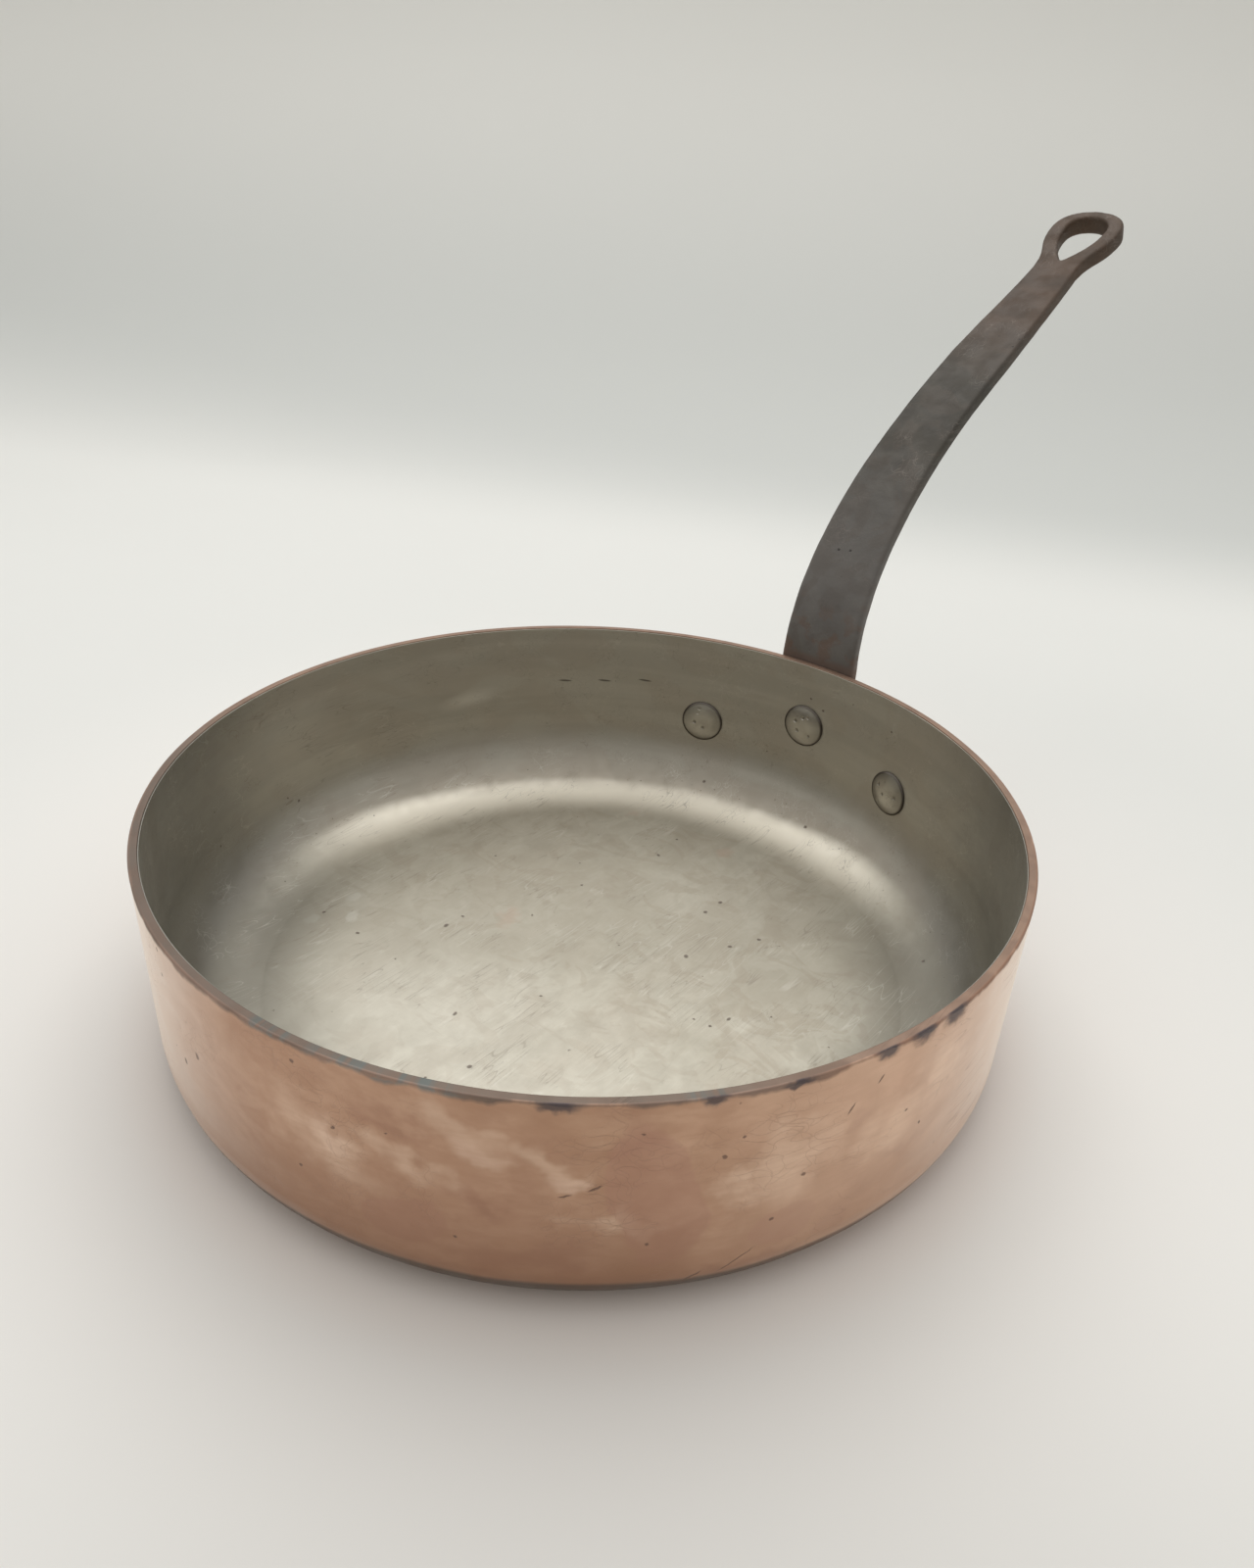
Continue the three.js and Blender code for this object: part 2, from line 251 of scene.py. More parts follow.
def strap_rings():
    """Sections of the strap, each with four corners, from the flange to the neck."""
    rim = Vector((STRAP_FACE, 0, PAN_HEIGHT))
    forward = Vector((math.cos(NECK_ANGLE), 0, math.sin(NECK_ANGLE)))
    line = [rim - Vector((0, 0, STRAP_LEAD_IN))]
    line += bezier([rim, rim + Vector((0, 0, RISE_STIFFNESS)), NECK_END - forward * REACH_STIFFNESS,
                    NECK_END], STRAP_STEPS)
    length = sum((b - a).length for a, b in zip(line[1:], line[2:]))
    travelled = 0.0
    rings = []
    for i, point in enumerate(line):
        if i > 1:
            travelled += (point - line[i - 1]).length
            way = (line[min(i + 1, len(line) - 1)] - line[i - 1]).normalized()
        else:
            way = Vector((0, 0, 1))
        down = Vector((way.z, 0, -way.x))
        share = travelled / length
        grown = min(1, share / STRAP_THICKENED)
        depth = STRAP_THICKNESS + (NECK_THICKNESS - STRAP_THICKNESS) * grown * grown * (3 - 2 * grown)
        side = Vector((0, strap_width(share) / 2, 0))
        upper = [point + side, point - side]
        rings.append(upper + [corner + down * depth for corner in reversed(upper)])
    rings.append([corner + forward * EYE_NECK / 2 for corner in rings[-1]])
    return rings


def soften_edges(bm, lowest=-math.inf):
    """Rounds every edge above a height where the faces meet at a marked angle."""
    edges = [e for e in bm.edges if e.is_manifold and e.calc_face_angle() > MARKED_ANGLE
             and all(v.co.z > lowest for v in e.verts)]
    bmesh.ops.bevel(bm, geom=edges, offset=IRON_ROUNDING, offset_type="OFFSET", affect="EDGES", segments=3,
                    profile=0.5, material=-1, clamp_overlap=True)


def strap_bar():
    """The strap, drawn out section by section, with rounded long edges."""
    bm = bmesh.new()
    rings = strap_rings()
    face = bm.faces.new([bm.verts.new(corner) for corner in rings[0]])
    for ring in rings[1:]:
        drawn = bmesh.ops.extrude_face_region(bm, geom=[face])
        face = next(g for g in drawn["geom"] if isinstance(g, bmesh.types.BMFace))
        for vert, corner in zip(face.verts, ring):
            vert.co = corner
    bmesh.ops.recalc_face_normals(bm, faces=bm.faces)
    soften_edges(bm)
    return bm


def plate(loops, thickness):
    """A flat plate in XY from its outline and holes, from Z = 0 down by its thickness."""
    bm = bmesh.new()
    for loop in loops:
        verts = [bm.verts.new(point) for point in loop]
        for a, b in zip(verts, verts[1:] + verts[:1]):
            bm.edges.new((a, b))
    bmesh.ops.triangle_fill(bm, use_beauty=True, use_dissolve=True, edges=bm.edges[:])
    sunk = bmesh.ops.extrude_face_region(bm, geom=bm.faces[:], use_keep_orig=True)
    verts = [g for g in sunk["geom"] if isinstance(g, bmesh.types.BMVert)]
    bmesh.ops.translate(bm, vec=(0, 0, -thickness), verts=verts)
    bmesh.ops.recalc_face_normals(bm, faces=bm.faces)
    return bm


def mirrored_loop(half, flip):
    """A closed outline from one half, whose ends lie on the line that it is mirrored across."""
    return half + [p * flip for p in reversed(half[1:-1])]


def eye_plate():
    """The hanging eye: a drop-shaped loop and hole, in line with the neck, thickest at its tip."""
    point = EYE_NECK
    far = point + EYE_HOLE_LENGTH
    tip = far + EYE_TIP
    half, hole, neck = EYE_WIDTH / 2, EYE_HOLE_WIDTH / 2, STRAP_NECK / 2
    middle = far - hole
    tip_bulge, hole_bulge = (tip - middle) * EYE_FULLNESS, hole * EYE_FULLNESS
    outer = [Vector((0, 0, 0))]
    outer += bezier([(0, neck), (middle / 2, neck), (middle / 2, half), (middle, half)], OUTLINE_STEPS)
    outer += bezier([(middle, half), (middle + tip_bulge, half), (tip, half * EYE_FULLNESS),
                     (tip, 0)], OUTLINE_STEPS)[1:]
    drop = bezier([(point, 0), (point + hole, hole * EYE_POINT_FULLNESS), (middle - hole, hole),
                   (middle, hole)], HOLE_STEPS)
    drop += bezier([(middle, hole), (middle + hole_bulge, hole), (far, hole_bulge),
                    (far, 0)], HOLE_STEPS)[1:]
    across = Vector((1, -1, 1))
    bm = plate([mirrored_loop(outer, across), mirrored_loop(drop, across)], EYE_THICKNESS)
    soften_edges(bm)
    for vert in bm.verts:
        thickness = NECK_THICKNESS + (EYE_THICKNESS - NECK_THICKNESS) * vert.co.x / tip
        vert.co.z *= thickness / EYE_THICKNESS
    place = Matrix.Translation(NECK_END) @ Matrix.Rotation(-NECK_ANGLE, 4, "Y")
    bmesh.ops.transform(bm, matrix=place, verts=bm.verts)
    return bm


def flange_plate():
    """The flange: lobes round the side rivets drawn up into the strap, then bent round the wall."""
    side = WALL_RADIUS * math.sin(RIVET_SPREAD)
    lobe = PAN_HEIGHT - SIDE_RIVET
    top, bottom = lobe + FLANGE_LOBE, lobe - FLANGE_LOBE
    belly = PAN_HEIGHT - UPPER_RIVET - FLANGE_BELLY
    shoulder = PAN_HEIGHT - FLANGE_SHOULDER
    half = STRAP_BASE / 2
    hollow = (side - half) / 2
    # One half of the outline, from the middle of the shoulder round the lobe to the middle of the belly.
    outline = [Vector((0, shoulder, 0))]
    outline += bezier([(half, shoulder), (half, top), (side - hollow, top), (side, top)], OUTLINE_STEPS)
    outline += [Vector((side + FLANGE_LOBE * math.sin(a), lobe + FLANGE_LOBE * math.cos(a), 0))
                for a in (math.pi * k / LOBE_STEPS for k in range(1, LOBE_STEPS))]
    outline += bezier([(side, bottom), (side - hollow, bottom), (half, belly), (0, belly)], OUTLINE_STEPS)
    bm = plate([mirrored_loop(outline, Vector((-1, 1, 1)))], FLANGE_THICKNESS)
    soften_edges(bm, -FLANGE_THICKNESS / 2)
    bmesh.ops.rotate(bm, cent=(0, 0, 0), verts=bm.verts, matrix=STAND_UP)
    reach = side + FLANGE_LOBE
    for k in range(1 - FLANGE_CUTS, FLANGE_CUTS):
        bmesh.ops.bisect_plane(bm, geom=bm.verts[:] + bm.edges[:] + bm.faces[:],
                               plane_co=(0, reach * k / FLANGE_CUTS, 0), plane_no=(0, 1, 0))
    for vert in bm.verts:
        radius = STRAP_FACE + FLANGE_THICKNESS + vert.co.x
        vert.co.x = math.sqrt(radius * radius - vert.co.y * vert.co.y)
    return bm


def casting():
    """Flange, strap and eye grown into one casting, with softened joins and a slightly uneven skin."""
    whole = bmesh.new()
    for part in (strap_bar(), eye_plate(), flange_plate()):
        mesh = as_mesh(part, "handle_part")
        whole.from_mesh(mesh)
        bpy.data.meshes.remove(mesh)
    bmesh.ops.triangulate(whole, faces=whole.faces[:])
    blank_mesh = as_mesh(whole, "handle_blank")
    blank = add_object("handle_blank", blank_mesh)
    cast = blank.modifiers.new("cast", "REMESH")
    cast.mode = "VOXEL"
    cast.voxel_size = CAST_GRAIN
    grown = bpy.data.meshes.new_from_object(blank.evaluated_get(bpy.context.evaluated_depsgraph_get()))
    bm = bmesh.new()
    bm.from_mesh(grown)
    bpy.data.objects.remove(blank)
    bpy.data.meshes.remove(blank_mesh)
    bpy.data.meshes.remove(grown)
    for _ in range(CAST_SMOOTHINGS):
        bmesh.ops.smooth_vert(bm, verts=bm.verts, factor=0.5,
                              use_axis_x=True, use_axis_y=True, use_axis_z=True)
    bm.normal_update()
    for vert in bm.verts:
        swell = sum(noise.noise(vert.co / size) * swollen for size, swollen in CAST_SWELLS)
        vert.co += vert.normal * (swell - CAST_SHRINK)
    return bm


def rivet_body(angle, height):
    """A rivet, head inside and hammered end outside, both bedded on round walls."""
    crown = HEAD_SEAT - HEAD_CROWN - HEAD_EDGE
    shares = [k / CROWN_STEPS for k in range(CROWN_STEPS + 1)]
    profile = [Vector((HEAD_RADIUS * share, HEAD_CROWN + crown * share ** HEAD_CURVE)) for share in shares]
    profile += [Vector(corner) for corner in (
        (HEAD_RADIUS, HEAD_SEAT - HEAD_EDGE / 2), (HEAD_RADIUS, HEAD_SEAT),
        (SHANK_RADIUS, HEAD_SEAT), (SHANK_RADIUS, PEEN_SEAT),
        (PEEN_RADIUS * PEEN_FOOT, PEEN_SEAT), (PEEN_RADIUS, PEEN_SEAT + PEEN_EDGE))]
    profile += [Vector((PEEN_RADIUS * math.cos(math.pi / 2 * share),
                        PEEN_SEAT + PEEN_HEIGHT * math.sin(math.pi / 2 * share) ** PEEN_CURVE))
                for share in shares[1:]]
    profile[-1].x = 0
    bm = turn_body(profile, steps=RIVET_STEPS)
    for vert in bm.verts:
        if vert.co.z > PEEN_SEAT + PEEN_EDGE:
            dent = noise.noise(Vector((vert.co.x, vert.co.y, height + angle)) / DENT_SIZE)
            vert.co.z -= DENT_DEPTH * (0.5 + 0.5 * dent)
        seat = HEAD_SEAT if vert.co.z < WALL_RADIUS else PEEN_SEAT
        vert.co.z += math.sqrt(seat * seat - vert.co.x * vert.co.x) - seat
    uv = bm.loops.layers.uv.new("face_of_head")
    for face in bm.faces:
        for loop in face.loops:
            loop[uv].uv = (loop.vert.co.x / HEAD_RADIUS, loop.vert.co.y / HEAD_RADIUS)
    turned = Matrix.Rotation(angle, 4, "Z") @ Matrix.Translation((0, 0, height))
    bmesh.ops.transform(bm, matrix=turned @ STAND_UP.to_4x4(), verts=bm.verts)
    return bm


# Building blocks for the finishes

def fill(tree, socket, value):
    """Fills an input with a value or with another node's output."""
    if isinstance(value, bpy.types.NodeSocket):
        tree.links.new(value, socket)
    elif socket.type == "RGBA":
        socket.default_value = (*value, 1)
    else:
        socket.default_value = value


def put(tree, kind, wires=None, **settings):
    """Adds a node with its settings, and fills its inputs."""
    node = tree.nodes.new(kind)
    for name, value in settings.items():
        setattr(node, name, value)
    for name, value in (wires or {}).items():
        fill(tree, node.inputs[name], value)
    return node


def maths(tree, operation, *values, clamp=False):
    """The result of one sum."""
    node = put(tree, "ShaderNodeMath", dict(enumerate(values)), operation=operation, use_clamp=clamp)
    return node.outputs[0]


def times(tree, first, second):
    """One value times another."""
    return maths(tree, "MULTIPLY", first, second)


def blend(tree, share, first, second):
    """A colour mixed from two by a share from 0 to 1."""
    return put(tree, "ShaderNodeMix", {0: share, 6: first, 7: second}, data_type="RGBA").outputs[2]


def tint(tree, colour, tone, mask, strength):
    """A colour drawn towards a tone where a mask is on, as far as a strength from 0 to 1."""
    return blend(tree, times(tree, mask, strength), colour, tone)


def layered(tree, colour, tones, layers):
    """A colour tinted several times over; a layer is the name of a tone, a mask and a strength."""
    for name, mask, strength in layers:
        colour = tint(tree, colour, tones[name], mask, strength)
    return colour


def between(tree, value, low, high, at_low=0.0, at_high=1.0):
    """A value carried smoothly from one range to another."""
    wires = {"Value": value, "From Min": low, "From Max": high, "To Min": at_low, "To Max": at_high}
    return put(tree, "ShaderNodeMapRange", wires, interpolation_type="SMOOTHSTEP").outputs["Result"]


def lumps(tree, place, size, detail=2.0, bend=0.0, drawn=None, turn=(0, 0, 0)):
    """Soft noise with lumps of about a size in metres, which can be drawn out along turned axes."""
    if drawn:
        place = put(tree, "ShaderNodeMapping", {"Vector": place, "Scale": drawn, "Rotation": turn},
                    vector_type="POINT").outputs[0]
    wires = {"Vector": place, "Scale": 1 / size, "Detail": detail, "Distortion": bend}
    return put(tree, "ShaderNodeTexNoise", wires).outputs[0]


def own_place(tree):
    """The place on the piece, in metres."""
    return put(tree, "ShaderNodeTexCoord").outputs["Object"]


def own_measures(tree):
    """The X, Y and Z of the place on the piece."""
    return put(tree, "ShaderNodeSeparateXYZ", {0: own_place(tree)}).outputs


def wall_place(tree):
    """On a round wall, the way round from the side opposite the handle, the height and the radius."""
    x, y, z = own_measures(tree)
    turn = maths(tree, "ARCTAN2", times(tree, y, -1.0), times(tree, x, -1.0))
    way = times(tree, turn, WALL_RADIUS)
    squares = maths(tree, "ADD", times(tree, x, x), times(tree, y, y))
    return way, z, maths(tree, "SQRT", squares)


def map_place(tree, x, y):
    """A place on a flat map."""
    return put(tree, "ShaderNodeCombineXYZ", {0: x, 1: y}).outputs[0]


def along(tree, x, y, direction):
    """How far a place lies from the middle in a level direction."""
    return maths(tree, "ADD", times(tree, x, direction[0]), times(tree, y, direction[1]))


def reach_from_middle(tree, place):
    """How far a place lies from the middle of its map."""
    return put(tree, "ShaderNodeVectorMath", {0: place}, operation="LENGTH").outputs["Value"]


def spot(tree, place, centre, size, turn=0.0, edge=0.5):
    """A mask that is 1 inside an oval mark and fades out to its edge."""
    wires = {"Vector": place, "Location": (*centre, 0), "Rotation": (0, 0, math.radians(turn)),
             "Scale": (*size, 1)}
    turned = put(tree, "ShaderNodeMapping", wires, vector_type="TEXTURE").outputs[0]
    return between(tree, reach_from_middle(tree, turned), edge, 1.0, 1.0, 0.0)


def gathered(tree, masks):
    """The strongest of several masks."""
    whole = masks[0]
    for mask in masks[1:]:
        whole = maths(tree, "MAXIMUM", whole, mask)
    return whole


def sway(tree, place, size):
    """A soft push to all sides, which frays the edges of marks."""
    push = put(tree, "ShaderNodeTexNoise", {"Vector": place, "Scale": 1 / size, "Detail": 3.0}).outputs[1]
    return put(tree, "ShaderNodeVectorMath", {0: push, 1: (-0.5, -0.5, -0.5)}, operation="ADD").outputs[0]


def marks(tree, place, rows, push, by, edge):
    """A mask of several oval marks, pushed out of shape; a row is a centre, the half sizes and a turn."""
    frayed = put(tree, "ShaderNodeVectorMath", {0: push, 1: (by, by, 0), 2: place},
                 operation="MULTIPLY_ADD").outputs[0]
    return gathered(tree, [spot(tree, frayed, centre, size, turn, edge) for centre, size, turn in rows])


def way_at(azimuth):
    """The way round the wall, in metres, at an azimuth in degrees."""
    return math.radians((azimuth + 360) % 360 - 180) * WALL_RADIUS


def wall_rows(rows):
    """Rows for marks on the wall, from azimuth, height, half length, half height in mm and turn."""
    return [((way_at(azimuth), height * MM), (long * MM, tall * MM), turn)
            for azimuth, height, long, tall, turn in rows]


def floor_rows(rows):
    """Rows for marks on the floor, from X, Y, half length and half width in mm and turn."""
    return [((x * MM, y * MM), (long * MM, wide * MM), turn) for x, y, long, wide, turn in rows]


# Effects that several finishes share

def new_effect(name, inputs, outputs):
    """An empty effect: its tree, its inputs and its outputs."""
    tree = bpy.data.node_groups.new(name, "ShaderNodeTree")
    for label, value in inputs.items():
        socket = tree.interface.new_socket(name=label, in_out="INPUT", socket_type="NodeSocketFloat")
        socket.default_value = value
    for label in outputs:
        tree.interface.new_socket(name=label, in_out="OUTPUT", socket_type="NodeSocketFloat")
    return tree, tree.nodes.new("NodeGroupInput").outputs, tree.nodes.new("NodeGroupOutput")


def sized_place(tree, size):
    """The place on the piece, scaled."""
    wires = {0: own_place(tree), "Scale": size}
    return put(tree, "ShaderNodeVectorMath", wires, operation="SCALE").outputs[0]


def clouding():
    """Soft clouds, sharp-edged patches and drawn-out streaks, as rubbing leaves them on metal."""
    tree, given, result = new_effect("clouding", {"Size": 1.0}, ["Clouds", "Patches", "Streaks"])
    place = sized_place(tree, given["Size"])
    clouds = between(tree, lumps(tree, place, 26 * MM, 5.0, 0.7), 0.34, 0.66)
    patches = lumps(tree, place, 46 * MM, 3.0, 1.6, (1, 1.4, 2.0), (0.5, 0.3, 0.8))
    patches = between(tree, patches, 0.46, 0.56)
    streaks = lumps(tree, place, 9 * MM, 4.0, 0.3, (0.16, 0.8, 1.5), (0.3, 0.35, 0.6))
    streaks = between(tree, streaks, 0.35, 0.68)
    for label, value in (("Clouds", clouds), ("Patches", patches), ("Streaks", streaks)):
        tree.links.new(value, result.inputs[label])
    return tree


# How each family of scratches is turned, in radians, and how close its lines lie, in metres
SCRATCHES = (((0.2, 0.5, 0.7), 3.2 * MM), ((0.4, -0.3, 2.2), 4.1 * MM), ((0.9, 0.1, 1.4), 5.0 * MM))


def hair_lines():
    """Fine scratches in several directions, thick in some places and missing from others."""
    tree, given, result = new_effect("hair_lines", {"Size": 1.0, "Width": 0.02}, ["Lines"])
    place = sized_place(tree, given["Size"])
    worn = between(tree, lumps(tree, place, 20 * MM, 1.0), 0.46, 0.64)
    lines = []
    for turn, spacing in SCRATCHES:
        wave = lumps(tree, place, spacing, 0.0, 0.15, (0.07, 1, 1), turn)
        off = maths(tree, "ABSOLUTE", maths(tree, "SUBTRACT", wave, 0.5))
        wires = {"Value": off, "From Min": 0.0, "From Max": given["Width"], "To Min": 1.0, "To Max": 0.0}
        lines.append(put(tree, "ShaderNodeMapRange", wires).outputs["Result"])
    tree.links.new(times(tree, gathered(tree, lines), worn), result.inputs["Lines"])
    return tree


SPECK_SPACING, SPECK_FRAY = 6 * MM, 0.7 * MM


def specks():
    """Small scattered spots of uneven size."""
    tree, given, result = new_effect("specks", {"Size": 1.0, "Share": 0.3}, ["Specks"])
    place = sized_place(tree, given["Size"])
    wires = {"Vector": place, "Scale": 1 / (0.9 * MM), "Detail": 1.0}
    frayed = put(tree, "ShaderNodeTexNoise", wires).outputs[1]
    frayed = put(tree, "ShaderNodeVectorMath", {0: frayed, 1: (SPECK_FRAY,) * 3, 2: place},
                 operation="MULTIPLY_ADD").outputs[0]
    cells = put(tree, "ShaderNodeTexVoronoi", {"Vector": frayed, "Scale": 1 / SPECK_SPACING}).outputs
    chance, extent, _ = put(tree, "ShaderNodeSeparateColor", {0: cells["Color"]}).outputs
    chosen = maths(tree, "LESS_THAN", chance, given["Share"])
    reach = maths(tree, "MULTIPLY_ADD", maths(tree, "POWER", extent, 2.5), 0.10, 0.035)
    inside = between(tree, maths(tree, "DIVIDE", cells["Distance"], reach), 0.6, 1.1, 1.0, 0.0)
    tree.links.new(times(tree, chosen, inside), result.inputs["Specks"])
    return tree


CLOUDING, HAIR_LINES, SPECKS = clouding(), hair_lines(), specks()


def effect(tree, group, **values):
    """Puts a shared effect into a finish."""
    return put(tree, "ShaderNodeGroup", values, node_tree=group).outputs


# Finishes

def new_finish(name):
    """An empty finish: its material, its tree and its shader."""
    material = bpy.data.materials.new(name)
    material.use_nodes = True
    tree = material.node_tree
    return material, tree, tree.nodes["Principled BSDF"]


def relief(tree, height, depth, under=None):
    """A fine relief for the shader's normal, on top of another relief."""
    wires = {"Height": height, "Distance": depth, "Strength": 1.0}
    if under:
        wires["Normal"] = under
    return put(tree, "ShaderNodeBump", wires).outputs[0]


def dress(tree, shader, **wires):
    """Wires the finish's colours and masks into its shader."""
    for name, value in wires.items():
        fill(tree, shader.inputs[name.replace("_", " ")], value)


COPPER_TONES = {
    "cloud": (0.47, 0.28, 0.185), "pale cloud": (0.60, 0.38, 0.265), "patch": (0.50, 0.30, 0.205),
    "streak": (0.78, 0.54, 0.39), "fine streak": (0.50, 0.30, 0.20), "clouded": (0.42, 0.235, 0.165),
    "cleared": (0.92, 0.70, 0.54), "facet": (0.50, 0.285, 0.21), "bared": (0.90, 0.68, 0.54),
    # The next line holds the tone of the painted shade low on the wall, and the pale tone of the painted
    # reflection where the wall turns from view.
    "shade_and_dark_cloud": (0.36, 0.205, 0.135), "warmed": (0.86, 0.63, 0.48), "painted_grazing_reflection": (0.94, 0.82, 0.72),
    "scratch": (0.40, 0.25, 0.18), "pit": (0.20, 0.13, 0.10),
    "grime": (0.22, 0.155, 0.12), "pale grime": (0.34, 0.225, 0.17), "red grime": (0.36, 0.20, 0.13),
    "blue grime": (0.20, 0.235, 0.23), "soot": (0.11, 0.085, 0.085),
    "near rim": (0.165, 0.125, 0.098), "far rim": (0.315, 0.205, 0.145), "rim cloud": (0.21, 0.14, 0.105),
    "blue rim": (0.11, 0.14, 0.135),
}
PITS = wall_rows((
    (-164.7, 47.6, 1, 0.7, 20), (-169.5, 30.2, 0.8, 0.6, 0), (170.6, 34.3, 0.9, 1.1, 10),
    (174.3, 41.8, 1, 1.4, 0), (-138.3, 43.5, 2.4, 0.5, 25), (-141.2, 41.2, 2, 0.4, 15),
    (-126, 50, 0.8, 0.9, 0), (-124.2, 54.9, 0.6, 0.6, 0), (-112.3, 54.1, 2.2, 0.35, 60),
    (-109, 59.6, 1.6, 0.4, 55), (-123.5, 15, 7, 0.25, 35), (-128, 12, 3, 0.5, 40),
    (-117, 38, 0.7, 0.8, 0), (-104, 44, 0.7, 0.6, 0), (-133, 25, 0.6, 0.6, 0),
    (-120, 26, 0.8, 0.6, 0), (-101, 36, 0.6, 0.6, 0), (-152, 24, 0.7, 0.5, 0),
))
FACETS = wall_rows(((-132.3, 40, 11, 25, 14), (-118.5, 24, 9, 7, 0), (-157.5, 26, 12, 7, 20)))
BARED = wall_rows(((-149.5, 50.5, 10, 4.5, -24), (-141, 44, 6, 4, 10), (-166, 45, 9, 5, -30)))
CLOUDED = wall_rows((
    (-110.8, 19, 9, 10, 15), (-134.5, 58, 9, 8, 0), (-145, 21, 24, 6, 8), (-158, 55, 13, 5, -20),
    (-122, 12, 26, 5, 0), (-150, 36, 12, 5, -15), (-103, 30, 9, 6, 10), (-111, 51, 7, 5, 0),
))
CLEARED = wall_rows((
    (-151.1, 57, 17, 7, -18), (-143.5, 50, 14, 6, -32), (-119, 44, 16, 15, 0), (-166, 42, 22, 13, -40),
    (-157, 44, 14, 6, -35), (-123.5, 41, 8, 9, 10), (-106, 40, 16, 14, 20), (-137, 33, 14, 5, -5),
    (-98, 50, 12, 16, 0),
))
RIM_SOOT = wall_rows((
    (-142, 67.3, 6.5, 2.6, 0), (-127.5, 67.5, 4, 2.6, 0), (-119, 67.3, 5, 1.6, 0),
    (-108.6, 67.3, 5, 3.2, -8), (-103.5, 67.3, 6, 4.6, -12), (-98.4, 67.3, 7, 5, -14),
))
RIM_BLUING = wall_rows((
    (-172, 66.5, 10, 4, 0), (-163, 66.5, 14, 4, 0), (-155, 66.5, 12, 4, 0), (-128, 66.5, 7, 4, 0),
))


